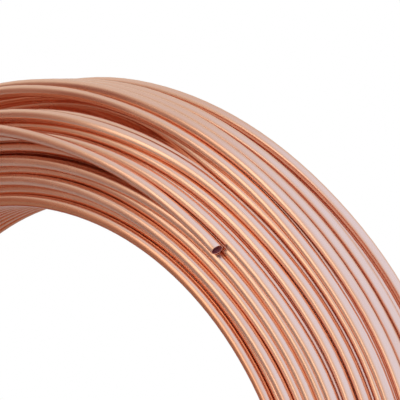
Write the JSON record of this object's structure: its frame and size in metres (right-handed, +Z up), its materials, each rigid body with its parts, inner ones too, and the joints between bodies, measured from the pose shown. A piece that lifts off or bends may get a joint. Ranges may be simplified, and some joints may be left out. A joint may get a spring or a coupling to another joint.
{
  "type": "copper tube coil",
  "caption": "Level-wound coil of bright soft copper tube standing on its rim, its open free end laid across the front of the turns.",
  "frame": {"origin": "on the floor under the middle of the coil, at the bottom centre of its box", "axes": "+Z up, the coil's axis along Y, -Y out of the front end where the free end lies, +X to the right seen from the front"},
  "size_m": [0.7172, 0.1289, 0.7173],
  "materials": {
    "copper": "bright drawn soft copper, satin mirror with faint lengthwise drawing lines"
  },
  "bodies": {
    "root": {"tube_coil": "copper"}
  },
  "joints": []
}
